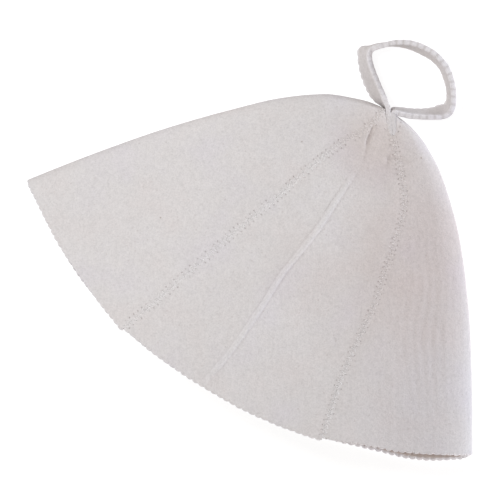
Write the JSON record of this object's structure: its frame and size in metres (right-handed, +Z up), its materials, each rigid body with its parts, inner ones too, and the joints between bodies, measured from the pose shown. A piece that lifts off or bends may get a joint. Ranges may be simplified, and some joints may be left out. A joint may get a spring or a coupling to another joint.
{
  "type": "felt sauna hat",
  "caption": "Bell-shaped cream felt hat sewn from gores, with a pinked hem and a hanging loop at its crown, lying on its side and partly flattened, with its mouth open.",
  "frame": {"origin": "on the surface the hat lies on, under the middle of its bounding box", "axes": "+Z up from that surface, +Y from the open hem towards the crown and its loop, X across the hat from the sharp fold (-X) to the round bend (+X)"},
  "size_m": [0.3527, 0.275, 0.0506],
  "materials": {
    "felt": "pressed wool felt",
    "strap_felt": "pressed wool felt"
  },
  "bodies": {
    "root": {"left_gore": "felt", "front_gore": "felt", "right_gore": "felt", "back_right_gore": "felt", "back_left_gore": "felt", "hanging_loop": "strap_felt"}
  },
  "joints": []
}
